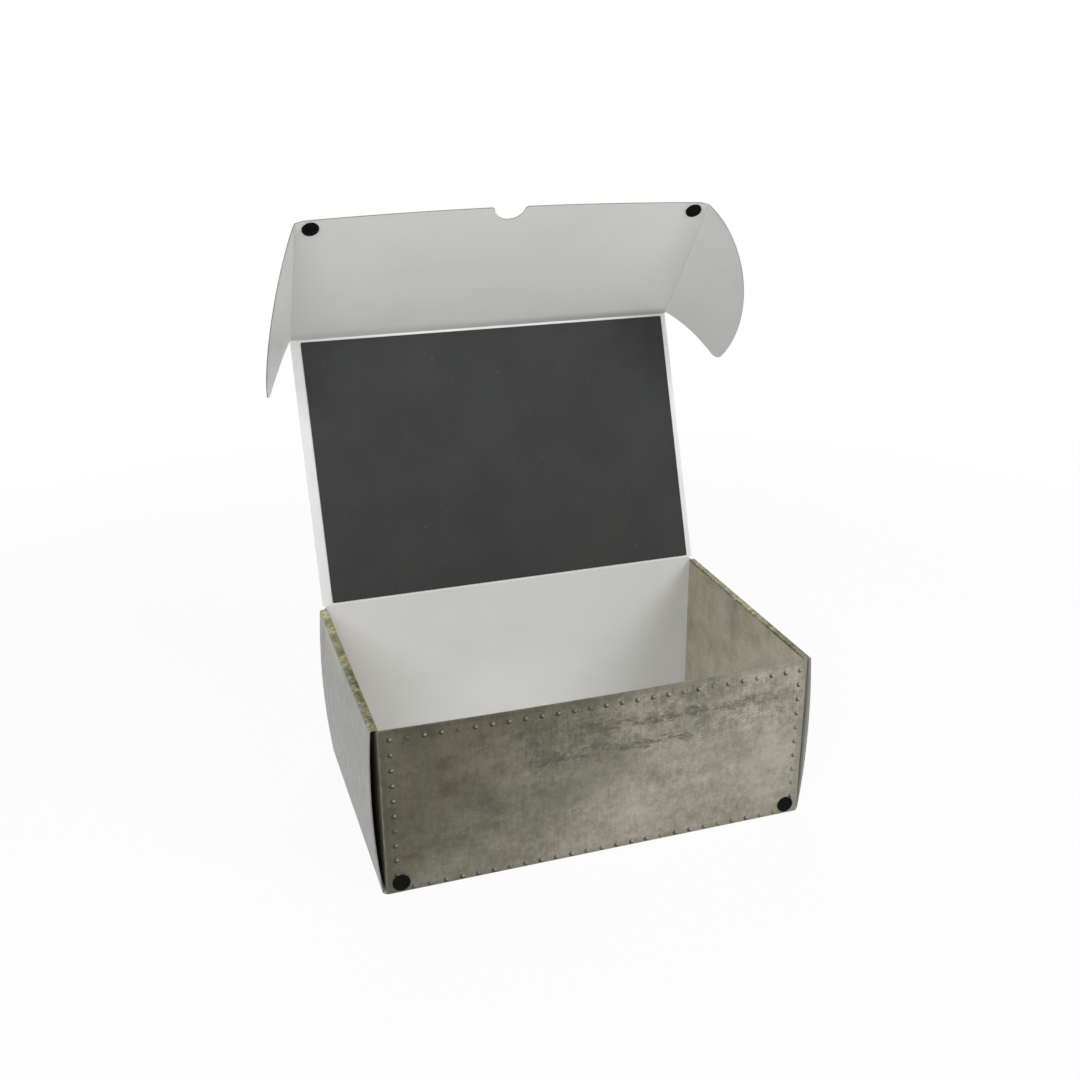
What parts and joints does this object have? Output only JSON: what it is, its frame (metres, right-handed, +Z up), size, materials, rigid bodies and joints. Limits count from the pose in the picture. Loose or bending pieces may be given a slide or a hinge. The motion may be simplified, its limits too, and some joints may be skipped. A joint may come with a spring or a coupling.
{
  "type": "miniature storage box",
  "caption": "Low carton folded from printed board, with double side walls, a hinged lid, a tuck flap with wing ears and a thumb notch, and sheets in it for magnetic bases.",
  "frame": {"origin": "middle of the box's underside", "axes": "+X to the right along the front, +Y from the front to the hinged back, +Z up"},
  "size_m": [0.3586, 0.2672, 0.4093],
  "materials": {
    "printed_board": "satin laminated print of worn riveted metal",
    "side_board": "satin laminated print of brushed grey metal",
    "white_board": "satin white coated board",
    "dark_sheet": "matt charcoal ferrous sheet",
    "pale_sheet": "matt white-faced ferrous sheet",
    "coin": "black hook-and-loop"
  },
  "bodies": {
    "box": {"base_panel": "white_board", "base_sheet": "pale_sheet", "front_wall": "printed_board", "back_wall": "white_board", "left_outer_panel": "side_board", "left_top_strip": "printed_board", "left_inner_panel": "printed_board", "front_left_dust_flap": "white_board", "back_left_dust_flap": "white_board", "left_wall_coin": "coin", "right_outer_panel": "side_board", "right_top_strip": "printed_board", "right_inner_panel": "printed_board", "front_right_dust_flap": "white_board", "back_right_dust_flap": "white_board", "right_wall_coin": "coin"},
    "lid": {"lid_panel": "white_board", "lid_sheet": "dark_sheet"},
    "flap": {"lid_flap": "white_board", "left_flap_coin": "coin", "right_flap_coin": "coin"},
    "left_ear": {"left_ear": "white_board"},
    "right_ear": {"right_ear": "white_board"}
  },
  "joints": [
    {"name": "lid_hinge", "type": "hinge", "parent": "box", "child": "lid", "pos_m": [0, 0.0976, 0.1234], "axis": [-1, 0, 0], "range_deg": [-110, 70]},
    {"name": "flap_hinge", "type": "hinge", "parent": "lid", "child": "flap", "pos_m": [0, 0.16576, 0.31068], "axis": [1, 0, 0], "range_deg": [-59, 31]},
    {"name": "left_ear_hinge", "type": "hinge", "parent": "flap", "child": "left_ear", "pos_m": [-0.1507, 0.16576, 0.31068], "axis": [0, -0.6293, 0.7771], "range_deg": [-66, 24]},
    {"name": "right_ear_hinge", "type": "hinge", "parent": "flap", "child": "right_ear", "pos_m": [0.1507, 0.16576, 0.31068], "axis": [0, 0.6293, -0.7771], "range_deg": [-62.5, 27.5]}
  ]
}
